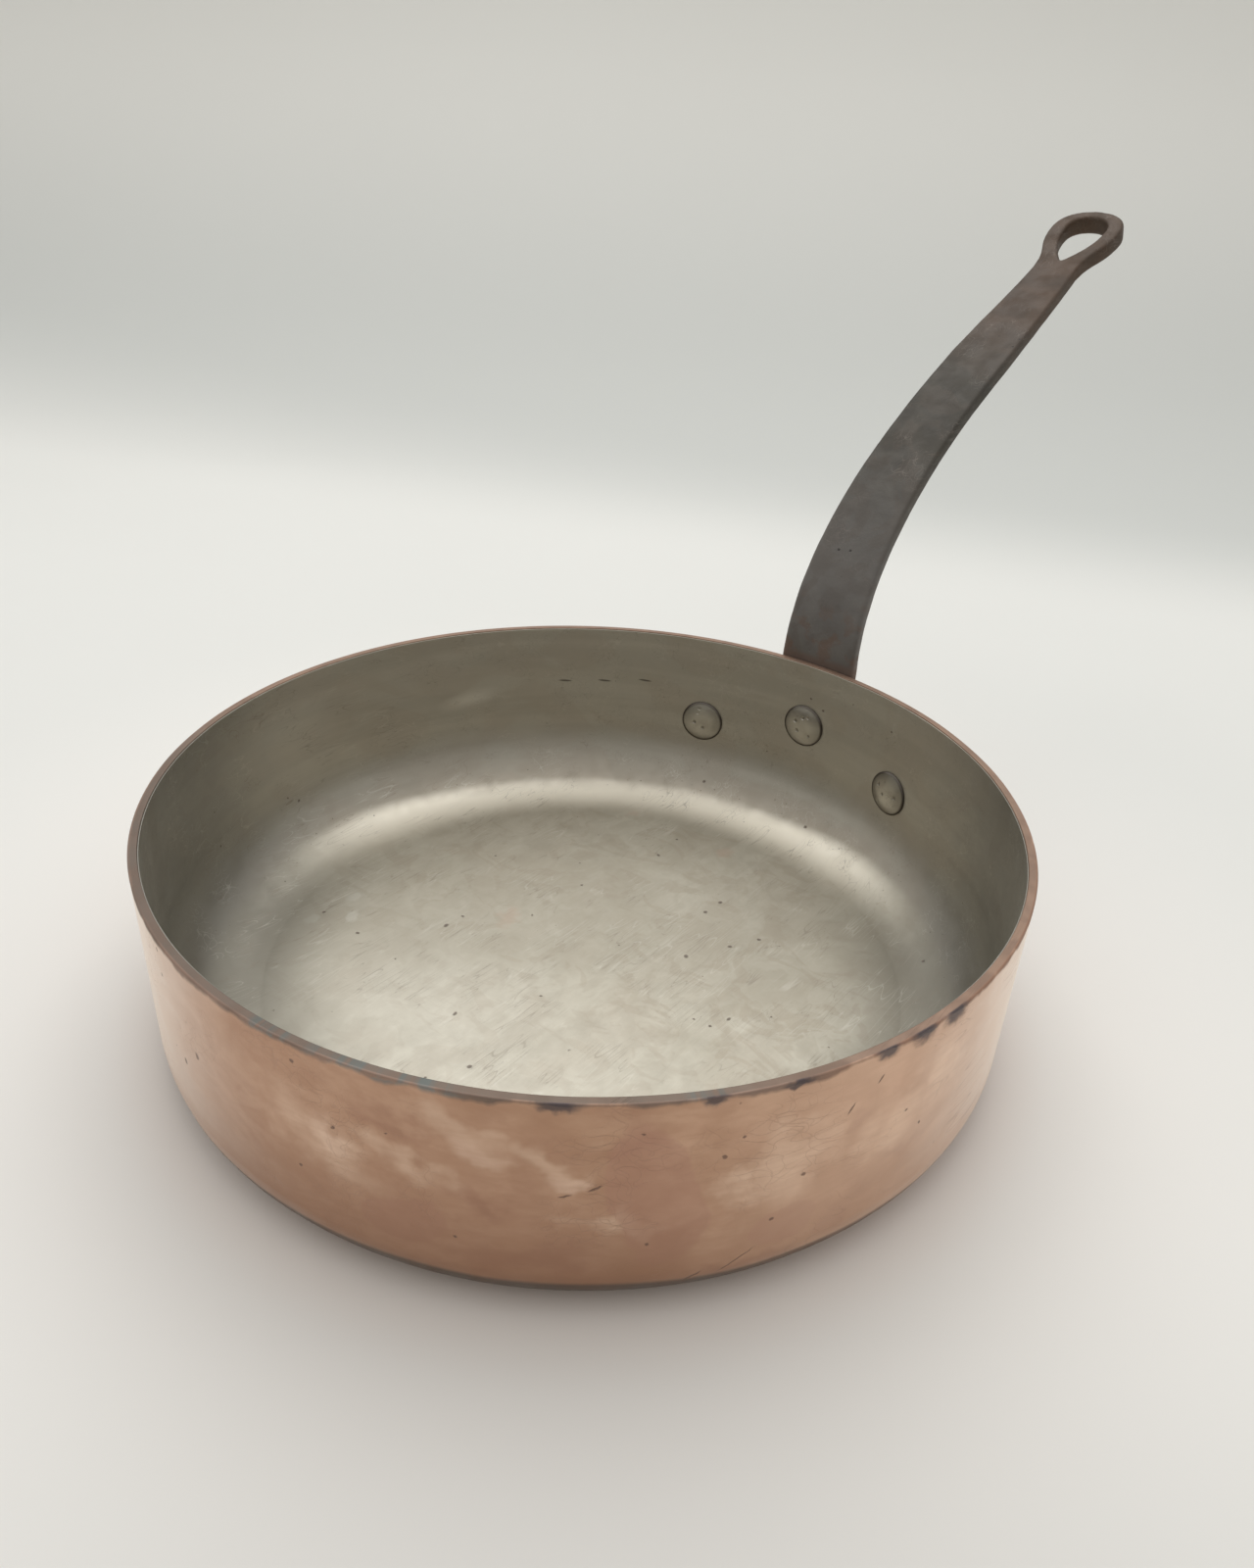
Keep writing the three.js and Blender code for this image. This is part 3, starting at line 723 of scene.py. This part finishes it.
def polished_copper():
    """Copper polished by hand: clouds and wiped patches, small pits, and a sooty, tarnished rim."""
    material, tree, shader = new_finish("polished_copper")
    tones = COPPER_TONES
    way, height, radius = wall_place(tree)
    wall = map_place(tree, way, height)
    # The way from the side opposite the handle is counted alike both ways round, so that no seam shows.
    off = maths(tree, "ABSOLUTE", way)
    ruffle, waver = sway(tree, wall, 2.5 * MM), sway(tree, wall, 12 * MM)
    veil = effect(tree, CLOUDING, Size=1.0)
    small = effect(tree, CLOUDING, Size=2.6)
    lines = effect(tree, HAIR_LINES, Size=1.0, Width=0.012)["Lines"]
    dots = effect(tree, SPECKS, Size=0.8, Share=0.2)["Specks"]
    holes = maths(tree, "MAXIMUM", marks(tree, wall, PITS, ruffle, 1.1 * MM, 0.45), dots)
    soot = marks(tree, wall, RIM_SOOT, ruffle, 3.6 * MM, 0.3)
    clouded, cleared = (marks(tree, wall, rows, waver, 26 * MM, 0.1) for rows in (CLOUDED, CLEARED))
    facets = marks(tree, wall, FACETS, waver, 9 * MM, 0.85)
    bared = marks(tree, wall, BARED, waver, 16 * MM, 0.35)
    brushed = lumps(tree, wall, 1.8 * MM, 4.0, 0.2, (0.12, 1, 1), (0, 0, 0.5))

    # Painted shade low on the wall, darker clouds to the left, warmer to the right, and a pale painted
    # reflection where the wall turns from view
    low = times(tree, between(tree, height, 6 * MM, 42 * MM, 1.0, 0.0),
                between(tree, radius, 92 * MM, 120 * MM))
    facing = put(tree, "ShaderNodeLayerWeight", {"Blend": 0.5}).outputs["Facing"]
    painted_grazing_reflection = times(tree, between(tree, facing, 0.55, 1.02),
                     between(tree, height, 3 * MM, 22 * MM))
    colour = layered(tree, blend(tree, veil["Clouds"], tones["cloud"], tones["pale cloud"]), tones, [
        ("patch", veil["Patches"], 0.35),
        ("streak", veil["Streaks"], 0.22),
        ("fine streak", small["Streaks"], 0.45),
        ("clouded", clouded, between(tree, brushed, 0.25, 0.6, 0.5, 0.65)),
        ("cleared", cleared, between(tree, brushed, 0.3, 0.7, 0.42, 0.62)),
        ("facet", facets, 0.5),
        ("bared", bared, between(tree, brushed, 0.35, 0.65, 0.34, 0.56)),
        ("shade_and_dark_cloud", low, between(tree, off, way_at(-140), way_at(-118), 0.62, 0.12)),
        ("shade_and_dark_cloud", veil["Clouds"], between(tree, off, way_at(-150), way_at(-126), 0.3, 0.0)),
        ("warmed", between(tree, off, way_at(-132), way_at(-112)), 0.3),
        ("painted_grazing_reflection", painted_grazing_reflection, 1.0),
        ("scratch", lines, 0.35),
        ("pit", holes, 0.8),
    ])

    # Soot and tarnish hang down from the rim in a ragged band, bluish in places and redder to the right.
    hang = lumps(tree, wall, 5 * MM, 4.0, 0.0, (0.5, 0.2, 1))
    start = maths(tree, "MULTIPLY_ADD", hang, -5.5 * MM, PAN_HEIGHT + 1.0 * MM)
    band = maths(tree, "DIVIDE", maths(tree, "SUBTRACT", height, start), 1.2 * MM, clamp=True)
    band = maths(tree, "MAXIMUM", band, times(tree, soot, 0.9))
    bluish = gathered(tree, [spot(tree, wall, *row, 0.4) for row in RIM_BLUING])
    bluish = times(tree, bluish, between(tree, lumps(tree, wall, 4 * MM, 3.0), 0.45, 0.6))
    grime = layered(tree, blend(tree, veil["Clouds"], tones["grime"], tones["pale grime"]), tones, [
        ("red grime", between(tree, off, way_at(-122), way_at(-108)), 0.75),
        ("blue grime", bluish, 0.6),
        ("soot", soot, 1.0),
    ])
    colour = blend(tree, band, colour, grime)
    rim = blend(tree, between(tree, off, way_at(-135), way_at(-95)), tones["near rim"], tones["far rim"])
    rim = layered(tree, rim, tones, [("rim cloud", small["Clouds"], 0.5), ("blue rim", bluish, 0.7)])
    on_top = between(tree, radius, WALL_RADIUS - 0.9 * MM, WALL_RADIUS - 0.4 * MM, 1.0, 0.0)
    colour = blend(tree, on_top, colour, rim)

    roughness = maths(tree, "MULTIPLY_ADD", veil["Patches"], 0.06, 0.33)
    roughness = maths(tree, "MULTIPLY_ADD", small["Clouds"], 0.07, roughness)
    roughness = maths(tree, "MULTIPLY_ADD", band, 0.14, roughness)
    normal = relief(tree, lumps(tree, wall, 1.4 * MM, 3.0, 0.0, (0.5, 1, 1)), 0.012 * MM)
    sunk = maths(tree, "ADD", holes, times(tree, lines, 0.3))
    normal = relief(tree, sunk, -0.12 * MM, normal)
    metal = maths(tree, "MULTIPLY_ADD", band, -0.35, 1.0)
    dress(tree, shader, Base_Color=colour, Roughness=roughness, Metallic=metal, Normal=normal)
    return material


TIN_TONES = {
    "cloud": (0.46, 0.42, 0.335), "pale cloud": (0.53, 0.49, 0.40), "wipe": (0.58, 0.54, 0.45),
    "patch": (0.42, 0.365, 0.285), "smudge": (0.37, 0.32, 0.245), "fine streak": (0.56, 0.53, 0.45),
    "mottled": (0.36, 0.325, 0.255), "scuffed": (0.36, 0.30, 0.225), "copper shows": (0.50, 0.36, 0.275),
    # The worn bright tone is a painted highlight on the floor, and the greyed tone is painted shade on its
    # far half.
    "pale mark": (0.66, 0.64, 0.56), "floor highlight": (0.64, 0.60, 0.51), "far floor shade": (0.35, 0.315, 0.245),
    # The next line holds the tone of the painted ring highlight and the tone of the painted shade at the
    # floor's edge away from the light.
    "painted_ring_highlight": (0.97, 0.90, 0.76), "edge shade": (0.20, 0.185, 0.15),
    "wall": (0.455, 0.425, 0.36), "pale wall": (0.50, 0.47, 0.40), "wall patch": (0.42, 0.36, 0.29),
    "tarnished": (0.285, 0.24, 0.185), "faded": (0.72, 0.69, 0.61), "rubbed": (0.64, 0.61, 0.53),
    # The turned away tone is painted shade on the side away from the light.
    "shade away from light": (0.20, 0.195, 0.175), "scratch": (0.25, 0.21, 0.165), "pale scratch": (0.69, 0.66, 0.58),
    "pit": (0.13, 0.10, 0.08), "dash": (0.08, 0.07, 0.06),
}
FLOOR_PITS = floor_rows((
    (57.1, -14.1, 1.3, 0.9, 0), (48.6, -13.7, 1.1, 1, 0), (24, -23.6, 1.3, 0.9, 30),
    (38.3, -31.4, 1, 0.9, 0), (-47, 12, 1.2, 0.8, 20), (-60, -8, 1, 0.9, 0),
    (-18, 47, 1.4, 0.9, 15), (66, 21, 1.2, 0.7, 60), (8, -52, 1.1, 0.7, 0),
))
FLOOR_PALE = floor_rows(((-46.7, 82.7, 4, 2.6, 0), (-28.5, 82.4, 3.2, 2.2, 0), (-35.9, 74.3, 4, 2.4, 30)))
FLOOR_WORN = floor_rows((
    (99.6, 63.8, 6, 3, -40), (82.6, 47.3, 5, 3, 10), (0, 34.7, 9, 5, 20), (84.7, 3.2, 6, 4, 0),
))
FLOOR_SMUDGES = floor_rows(((-21.7, -20.1, 9, 6, 20), (-31.2, -6.3, 7, 5, -15), (40, 20, 22, 10, 35)))
WALL_DASHES = wall_rows((
    (45.3, 45.2, 3.4, 0.5, 3), (38.1, 45.6, 3.4, 0.5, 3), (30.7, 47, 3.4, 0.5, 3),
))
WALL_FADED, WALL_RUBBED = wall_rows(((63, 40, 17, 5, -8), (104, 44, 48, 26, 0)))


LIT_SIDE = (0.82, 0.57)  # the level direction of the side that catches the light


def wiped_tin():
    """Tin wiped on by hand: warm grey, with streaks, scratches, specks and spots worn to the copper."""
    material, tree, shader = new_finish("wiped_tin")
    tones = TIN_TONES
    place = own_place(tree)
    way, height, radius = wall_place(tree)
    x, y, _ = own_measures(tree)
    ruffle = sway(tree, place, 4 * MM)
    flat, wall = map_place(tree, x, y), map_place(tree, way, height)
    across = along(tree, x, y, LIT_SIDE)
    # Painted shade on the side turned away from the light.
    painted_shade_away = between(tree, across, 5 * MM, 70 * MM, 1.0, 0.0)
    # On the lit side the floor's colour, with its painted ring highlight, stops lower on the wall.
    drawn_in = between(tree, across, 65 * MM, 105 * MM)
    climbed = maths(tree, "MULTIPLY_ADD", drawn_in, 2.6 * MM, height)
    on_floor = between(tree, climbed, FLOOR + 3.2 * MM, FLOOR + 7.0 * MM, 1.0, 0.0)
    veil = effect(tree, CLOUDING, Size=0.8)
    small = effect(tree, CLOUDING, Size=3.0)
    lines = effect(tree, HAIR_LINES, Size=1.7, Width=0.010)["Lines"]
    pale_lines = effect(tree, HAIR_LINES, Size=1.4, Width=0.011)["Lines"]
    dots = effect(tree, SPECKS, Size=1.0, Share=0.34)["Specks"]
    wipes = between(tree, lumps(tree, place, 2.4 * MM, 4.0, 0.4, (0.12, 1, 1), (0, 0, 0.65)), 0.36, 0.66)
    rings = between(tree, lumps(tree, place, 6 * MM, 3.0, 0.2, (0.08, 0.08, 1)), 0.35, 0.65)
    mottled = between(tree, lumps(tree, place, 3 * MM, 6.0, 0.8), 0.35, 0.65)
    scuffed = between(tree, lumps(tree, place, 15 * MM, 6.0, 2.2, (1, 0.6, 1), (0, 0, 0.7)), 0.53, 0.60)

    # Where the floor turns up into the wall a pale ring is painted highlight, strongest on the lit side;
    # above that the wall is tarnished brown.
    painted_ring_highlight = between(tree, radius, TIN_INSIDE - 34 * MM, TIN_INSIDE - 18 * MM)
    painted_ring_highlight = times(tree, painted_ring_highlight, maths(tree, "MULTIPLY_ADD", rings, 0.12, 0.88))
    painted_ring_highlight = times(tree, painted_ring_highlight, between(tree, across, 25 * MM, 92 * MM, 0.05, 1.0))
    # Painted shade on the floor's edge on the side turned away from the light.
    painted_edge_shade = times(tree, painted_shade_away, between(tree, radius, 74 * MM, 112 * MM))
    floor = layered(tree, blend(tree, veil["Clouds"], tones["cloud"], tones["pale cloud"]), tones, [
        ("wipe", wipes, 0.04),
        ("patch", veil["Patches"], 0.35),
        ("smudge", small["Patches"], 0.25),
        ("fine streak", small["Streaks"], 0.12),
        ("mottled", mottled, 0.14),
        ("scuffed", scuffed, 0.32),
        ("smudge", marks(tree, flat, FLOOR_SMUDGES, ruffle, 14 * MM, 0.2), 0.35),
        ("copper shows", marks(tree, flat, FLOOR_WORN, ruffle, 8 * MM, 0.2), 0.5),
        ("pale mark", marks(tree, flat, FLOOR_PALE, ruffle, 5 * MM, 0.5), 0.7),
        # Painted highlight on the floor's side away from the handle, and painted shade on its half towards
        # the lit side.
        ("floor highlight", between(tree, x, -60 * MM, 6 * MM, 1.0, 0.0), 0.42),
        ("far floor shade", between(tree, across, -25 * MM, 5 * MM), 0.28),
        ("painted_ring_highlight", painted_ring_highlight, 1.0),
        ("edge shade", painted_edge_shade, 0.85),
    ])
    side = layered(tree, blend(tree, rings, tones["wall"], tones["pale wall"]), tones, [
        ("wall patch", veil["Patches"], 0.25),
        ("tarnished", between(tree, height, 8 * MM, 20 * MM, 1.0, 0.0), 0.55),
        ("faded", spot(tree, wall, *WALL_FADED, 0.1), 0.6),
        ("rubbed", spot(tree, wall, *WALL_RUBBED, 0.1), 0.45),
        # Painted shade on the wall where it turns away from the light.
        ("shade away from light", painted_shade_away, 0.6),
    ])
    pits = times(tree, marks(tree, flat, FLOOR_PITS, ruffle, 1.0 * MM, 0.4), on_floor)
    # The seam between floor and wall is pricked with small dark spots.
    seam = times(tree, between(tree, height, FLOOR + 2.0 * MM, FLOOR + 3.6 * MM),
                 between(tree, height, FLOOR + 6 * MM, FLOOR + 12 * MM, 1.0, 0.0))
    pricked = times(tree, effect(tree, SPECKS, Size=2.6, Share=0.9)["Specks"], seam)
    dark = gathered(tree, [dots, pricked, pits])
    dashes = gathered(tree, [spot(tree, wall, *row) for row in WALL_DASHES])
    colour = layered(tree, blend(tree, on_floor, side, floor), tones, [
        ("scratch", lines, 0.5),
        ("pale scratch", pale_lines, 0.3),
        ("pit", dark, 0.82),
        ("dash", dashes, 0.8),
    ])

    roughness = maths(tree, "MULTIPLY_ADD", small["Clouds"], 0.08, 0.40)
    roughness = maths(tree, "MULTIPLY_ADD", wipes, 0.03, roughness)
    metal = maths(tree, "MULTIPLY_ADD", on_floor, -0.35, 0.9)
    metal = maths(tree, "MULTIPLY_ADD", times(tree, painted_ring_highlight, on_floor), -0.15, metal)
    grain = maths(tree, "ADD", lumps(tree, place, 1.6 * MM, 3.0), times(tree, wipes, 0.15))
    normal = relief(tree, grain, 0.014 * MM)
    normal = relief(tree, maths(tree, "ADD", dark, times(tree, lines, 0.2)), -0.08 * MM, normal)
    dress(tree, shader, Base_Color=colour, Roughness=roughness, Metallic=metal, Normal=normal)
    return material


IRON_TONES = {
    "inner": (0.190, 0.175, 0.160), "outer": (0.064, 0.056, 0.044), "upper": (0.078, 0.047, 0.028),
    "inner cloud": (0.130, 0.122, 0.115), "outer cloud": (0.038, 0.034, 0.028),
    "patch": (0.095, 0.070, 0.052), "rust": (0.22, 0.12, 0.075), "scratch": (0.27, 0.23, 0.20),
    "pit": (0.035, 0.03, 0.028),
}


def bare_cast_iron():
    """Bare iron: dark grey-brown, browner towards the eye and rusty at the rim, pitted and scratched."""
    material, tree, shader = new_finish("bare_cast_iron")
    tones = IRON_TONES
    place = own_place(tree)
    x, _, height = own_measures(tree)
    veil = effect(tree, CLOUDING, Size=1.6)
    lines = effect(tree, HAIR_LINES, Size=1.4, Width=0.012)["Lines"]
    dots = effect(tree, SPECKS, Size=1.3, Share=0.45)["Specks"]
    out = between(tree, x, WALL_RADIUS - 12 * MM, WALL_RADIUS + 58 * MM)
    upper = between(tree, x, WALL_RADIUS + 75 * MM, WALL_RADIUS + 140 * MM)
    colour = blend(tree, upper, blend(tree, out, tones["inner"], tones["outer"]), tones["upper"])
    clouds = blend(tree, out, tones["inner cloud"], tones["outer cloud"])
    rust = times(tree, between(tree, lumps(tree, place, 7 * MM, 4.0), 0.5, 0.62),
                 between(tree, height, PAN_HEIGHT + 3 * MM, PAN_HEIGHT + 32 * MM, 1.0, 0.0))
    seam = between(tree, height, PAN_HEIGHT + 1.0 * MM, PAN_HEIGHT + 4.0 * MM, 1.0, 0.0)
    rust = maths(tree, "MAXIMUM", rust, seam)
    colour = layered(tree, tint(tree, colour, clouds, veil["Clouds"], 0.4), tones, [
        ("patch", veil["Patches"], 0.2),
        ("rust", rust, 0.4),
        ("scratch", lines, 0.25),
        ("pit", dots, 0.7),
    ])
    roughness = maths(tree, "MULTIPLY_ADD", veil["Streaks"], 0.12, 0.52)
    roughness = maths(tree, "MULTIPLY_ADD", rust, 0.2, roughness)
    grain = maths(tree, "ADD", lumps(tree, place, 1.1 * MM, 4.0), lumps(tree, place, 5 * MM, 2.0))
    normal = relief(tree, grain, 0.06 * MM)
    normal = relief(tree, dots, -0.16 * MM, normal)
    dress(tree, shader, Base_Color=colour, Roughness=roughness, Metallic=0.4, Specular_IOR_Level=0.35,
          Normal=normal)
    return material


RIVET_TONES = {
    "cloud": (0.48, 0.445, 0.38), "pale cloud": (0.58, 0.55, 0.47), "dent": (0.22, 0.19, 0.15),
    # The edge tone is painted shade towards the rim of the head.
    "pit": (0.20, 0.17, 0.13), "edge": (0.24, 0.22, 0.185), "foot": (0.08, 0.065, 0.055),
    "copper": (0.36, 0.20, 0.135), "pale copper": (0.56, 0.34, 0.235), "copper pit": (0.16, 0.10, 0.075),
}


def tinned_rivet():
    """A rivet tinned over with the lining: satin, dark round its foot, with dents from the hammer."""
    material, tree, shader = new_finish("tinned_rivet")
    tones = RIVET_TONES
    place = own_place(tree)
    reach = reach_from_middle(tree, put(tree, "ShaderNodeUVMap", uv_map="face_of_head").outputs[0])
    veil = effect(tree, CLOUDING, Size=4.0)
    lines = effect(tree, HAIR_LINES, Size=2.0, Width=0.014)["Lines"]
    dots = effect(tree, SPECKS, Size=2.2, Share=0.5)["Specks"]
    cells = put(tree, "ShaderNodeTexVoronoi", {"Vector": place, "Scale": 1 / (3.1 * MM)}).outputs
    dents = times(tree, between(tree, cells["Distance"], 0.12, 0.30, 1.0, 0.0),
                  between(tree, reach, 0.55, 0.8, 1.0, 0.0))
    colour = layered(tree, blend(tree, veil["Clouds"], tones["cloud"], tones["pale cloud"]), tones, [
        ("dent", dents, 0.6),
        ("pit", maths(tree, "MAXIMUM", dots, lines), 0.5),
        # Painted shade darkens the head towards its rim, so that it reads as a dome.
        ("edge", between(tree, reach, 0.25, 1.0), 0.6),
        ("foot", between(tree, reach, 0.86, 0.97), 0.85),
    ])
    # The hammered ends outside the pan are bare copper.
    outside = between(tree, wall_place(tree)[2], WALL_RADIUS, WALL_RADIUS + 1 * MM)
    bare = blend(tree, veil["Clouds"], tones["copper"], tones["pale copper"])
    colour = blend(tree, outside, colour, tint(tree, bare, tones["copper pit"], dots, 0.7))
    roughness = maths(tree, "MULTIPLY_ADD", veil["Clouds"], 0.1, 0.28)
    normal = relief(tree, lumps(tree, place, 1.2 * MM, 3.0), 0.02 * MM)
    normal = relief(tree, dents, -0.3 * MM, normal)
    dress(tree, shader, Base_Color=colour, Roughness=roughness, Metallic=0.9, Normal=normal)
    return material


finish_piece("pan_copper", copper_shell(), polished_copper(), "copper_body")
finish_piece("pan_tin", tin_coat(), wiped_tin(), "tin_lining")
finish_piece("pan_handle", casting(), bare_cast_iron(), "iron_handle")
rivet_finish = tinned_rivet()
for rivet_name, (rivet_angle, rivet_height) in RIVETS.items():
    finish_piece("pan_" + rivet_name, rivet_body(rivet_angle, rivet_height), rivet_finish,
                 rivet_name)


# Studio

BACK = Vector((math.sin(math.radians(52)), math.cos(math.radians(52)), 0))  # away from the camera, level

# Sizes of the paper in metres, and its turn
PAPER_FRONT, PAPER_BEND_START, PAPER_BEND, PAPER_TOP = 1.6, 0.55, 0.4, 0.48
PAPER_HALF_WIDTH = 2.2
PAPER_TURN, PAPER_BEND_STEPS = math.radians(32), 24
PAPER_FAR = (0.93, 0.37)  # the level direction in which the paper gets painted shade
PAPER_TONES = {
    # The next two lines hold the tones of painted light by the pan, warm painted light from the copper,
    # painted shade far back and a painted shadow in front.
    "paper": (0.775, 0.765, 0.725), "pale paper": (0.795, 0.785, 0.745), "painted light by the pan": (0.865, 0.84, 0.795),
    "lit by copper": (0.84, 0.66, 0.56), "far": (0.61, 0.615, 0.585), "shaded": (0.54, 0.52, 0.48),
}
# Middle, size and turn of the painted shadow in front of the pan
SHADE_CENTRE, SHADE_SIZE, SHADE_TURN = (-0.22, -0.22), (0.30, 0.24), -45

# The room's light and the lamp
ROOM_DIM, ROOM_BRIGHT, ROOM_STRENGTH = (0.53, 0.52, 0.50), (0.98, 0.995, 1.0), 0.93
LAMP_PLACE = BACK * 0.6 + Vector((0, 0, 1.2))
LAMP_SIZE, LAMP_POWER = 1.1, 5.5

# The photograph's camera
IMAGE_WIDTH, FOCAL_LENGTH = 1280, 1180  # in pixels
SENSOR_WIDTH = 36  # in millimetres
CAMERA_PLACE = Vector((-0.23150, -0.19425, 0.24155))
CAMERA_HEADING = math.radians(50) + 0.035919
CAMERA_PITCH, CAMERA_ROLL = 0.516635, 0.050510


def pale_paper():
    """Matt paper, with the faintest unevenness, painted shade far back, a painted shadow in front, and
    pale, warm painted light beside the copper.
    """
    material, tree, shader = new_finish("pale_paper")
    tones = PAPER_TONES
    place = own_place(tree)
    x, y, height = own_measures(tree)
    level = map_place(tree, x, y)
    around = reach_from_middle(tree, level)
    away = along(tree, x, y, PAPER_FAR)
    colour = blend(tree, lumps(tree, place, 180 * MM, 3.0), tones["paper"], tones["pale paper"])
    colour = layered(tree, colour, tones, [
        # Painted light by the pan, warm painted light from the copper, painted shade far back and a painted
        # shadow in front
        ("painted light by the pan", between(tree, around, 0.15, 0.32, 1.0, 0.0), 1.0),
        ("lit by copper", between(tree, around, 0.118, 0.150, 1.0, 0.0), 0.5),
        ("far", between(tree, away, 0.42, 0.66), between(tree, height, 0.06, 0.30, 1.0, 0.0)),
        ("shaded", spot(tree, level, SHADE_CENTRE, SHADE_SIZE, SHADE_TURN, 0.0), 0.65),
    ])
    normal = relief(tree, lumps(tree, place, 1.5 * MM, 4.0), 0.02 * MM)
    roughness = maths(tree, "MULTIPLY_ADD", lumps(tree, place, 60 * MM), 0.1, 0.82)
    dress(tree, shader, Base_Color=colour, Roughness=roughness, Normal=normal)
    return material


def paper_sweep():
    """The paper that the pan stands on, bent up behind it."""
    bm = bmesh.new()
    line = [Vector((-PAPER_FRONT, 0)), Vector((PAPER_BEND_START, 0))]
    line += [Vector((PAPER_BEND_START + PAPER_BEND * math.sin(a), PAPER_BEND - PAPER_BEND * math.cos(a)))
             for a in (math.pi / 2 * k / PAPER_BEND_STEPS for k in range(1, PAPER_BEND_STEPS + 1))]
    line.append(Vector((PAPER_BEND_START + PAPER_BEND, PAPER_TOP)))
    verts = [bm.verts.new((p.x, -PAPER_HALF_WIDTH, p.y)) for p in line]
    edges = [bm.edges.new(pair) for pair in zip(verts, verts[1:])]
    drawn = bmesh.ops.extrude_edge_only(bm, edges=edges)
    moved = [g for g in drawn["geom"] if isinstance(g, bmesh.types.BMVert)]
    bmesh.ops.translate(bm, vec=(0, 2 * PAPER_HALF_WIDTH, 0), verts=moved)
    bmesh.ops.rotate(bm, cent=(0, 0, 0), matrix=Matrix.Rotation(PAPER_TURN, 3, "Z"), verts=bm.verts)
    bmesh.ops.recalc_face_normals(bm, faces=bm.faces)
    sweep = dressed_object("paper_sweep", bm, pale_paper())


def room():
    """Soft light all round: bright above and behind the pan, dim on the camera's side."""
    world = bpy.data.worlds.new("room")
    world.use_nodes = True
    tree = world.node_tree
    way = put(tree, "ShaderNodeTexCoord").outputs["Generated"]
    behind = put(tree, "ShaderNodeVectorMath", {0: way, 1: BACK}, operation="DOT_PRODUCT").outputs["Value"]
    _, _, up = put(tree, "ShaderNodeSeparateXYZ", {0: way}).outputs
    lit = maths(tree, "MAXIMUM", between(tree, behind, -0.75, 0.45), between(tree, up, 0.55, 0.9))
    background = tree.nodes["Background"]
    tree.links.new(blend(tree, lit, ROOM_DIM, ROOM_BRIGHT), background.inputs["Color"])
    background.inputs["Strength"].default_value = ROOM_STRENGTH
    bpy.context.scene.world = world


def ceiling_lamp():
    """A large square lamp above and behind the pan, turned towards it."""
    lamp = bpy.data.lights.new("ceiling", "AREA")
    lamp.size = LAMP_SIZE
    lamp.energy = LAMP_POWER
    light = add_object("ceiling", lamp)
    light.location = LAMP_PLACE
    light.rotation_euler = (-LAMP_PLACE).to_track_quat("-Z", "Y").to_euler()


def camera():
    """The camera, at the photograph's place and angle."""
    data = bpy.data.cameras.new("camera")
    data.sensor_width = SENSOR_WIDTH
    data.sensor_fit = "HORIZONTAL"
    data.lens = FOCAL_LENGTH / IMAGE_WIDTH * SENSOR_WIDTH
    data.clip_start = 0.01
    ahead, aside = math.cos(CAMERA_HEADING), math.sin(CAMERA_HEADING)
    flat = math.cos(CAMERA_PITCH)
    forward = Vector((aside * flat, ahead * flat, -math.sin(CAMERA_PITCH)))
    level = Vector((ahead, -aside, 0))
    above = level.cross(forward)
    right = math.cos(CAMERA_ROLL) * level + math.sin(CAMERA_ROLL) * above
    up = -math.sin(CAMERA_ROLL) * level + math.cos(CAMERA_ROLL) * above
    turn = Matrix((right, up, -forward)).transposed().to_4x4()
    shot = add_object("camera", data)
    shot.matrix_world = Matrix.Translation(CAMERA_PLACE) @ turn
    bpy.context.scene.camera = shot


paper_sweep()
room()
ceiling_lamp()
camera()
bpy.context.scene.view_settings.view_transform = "Standard"
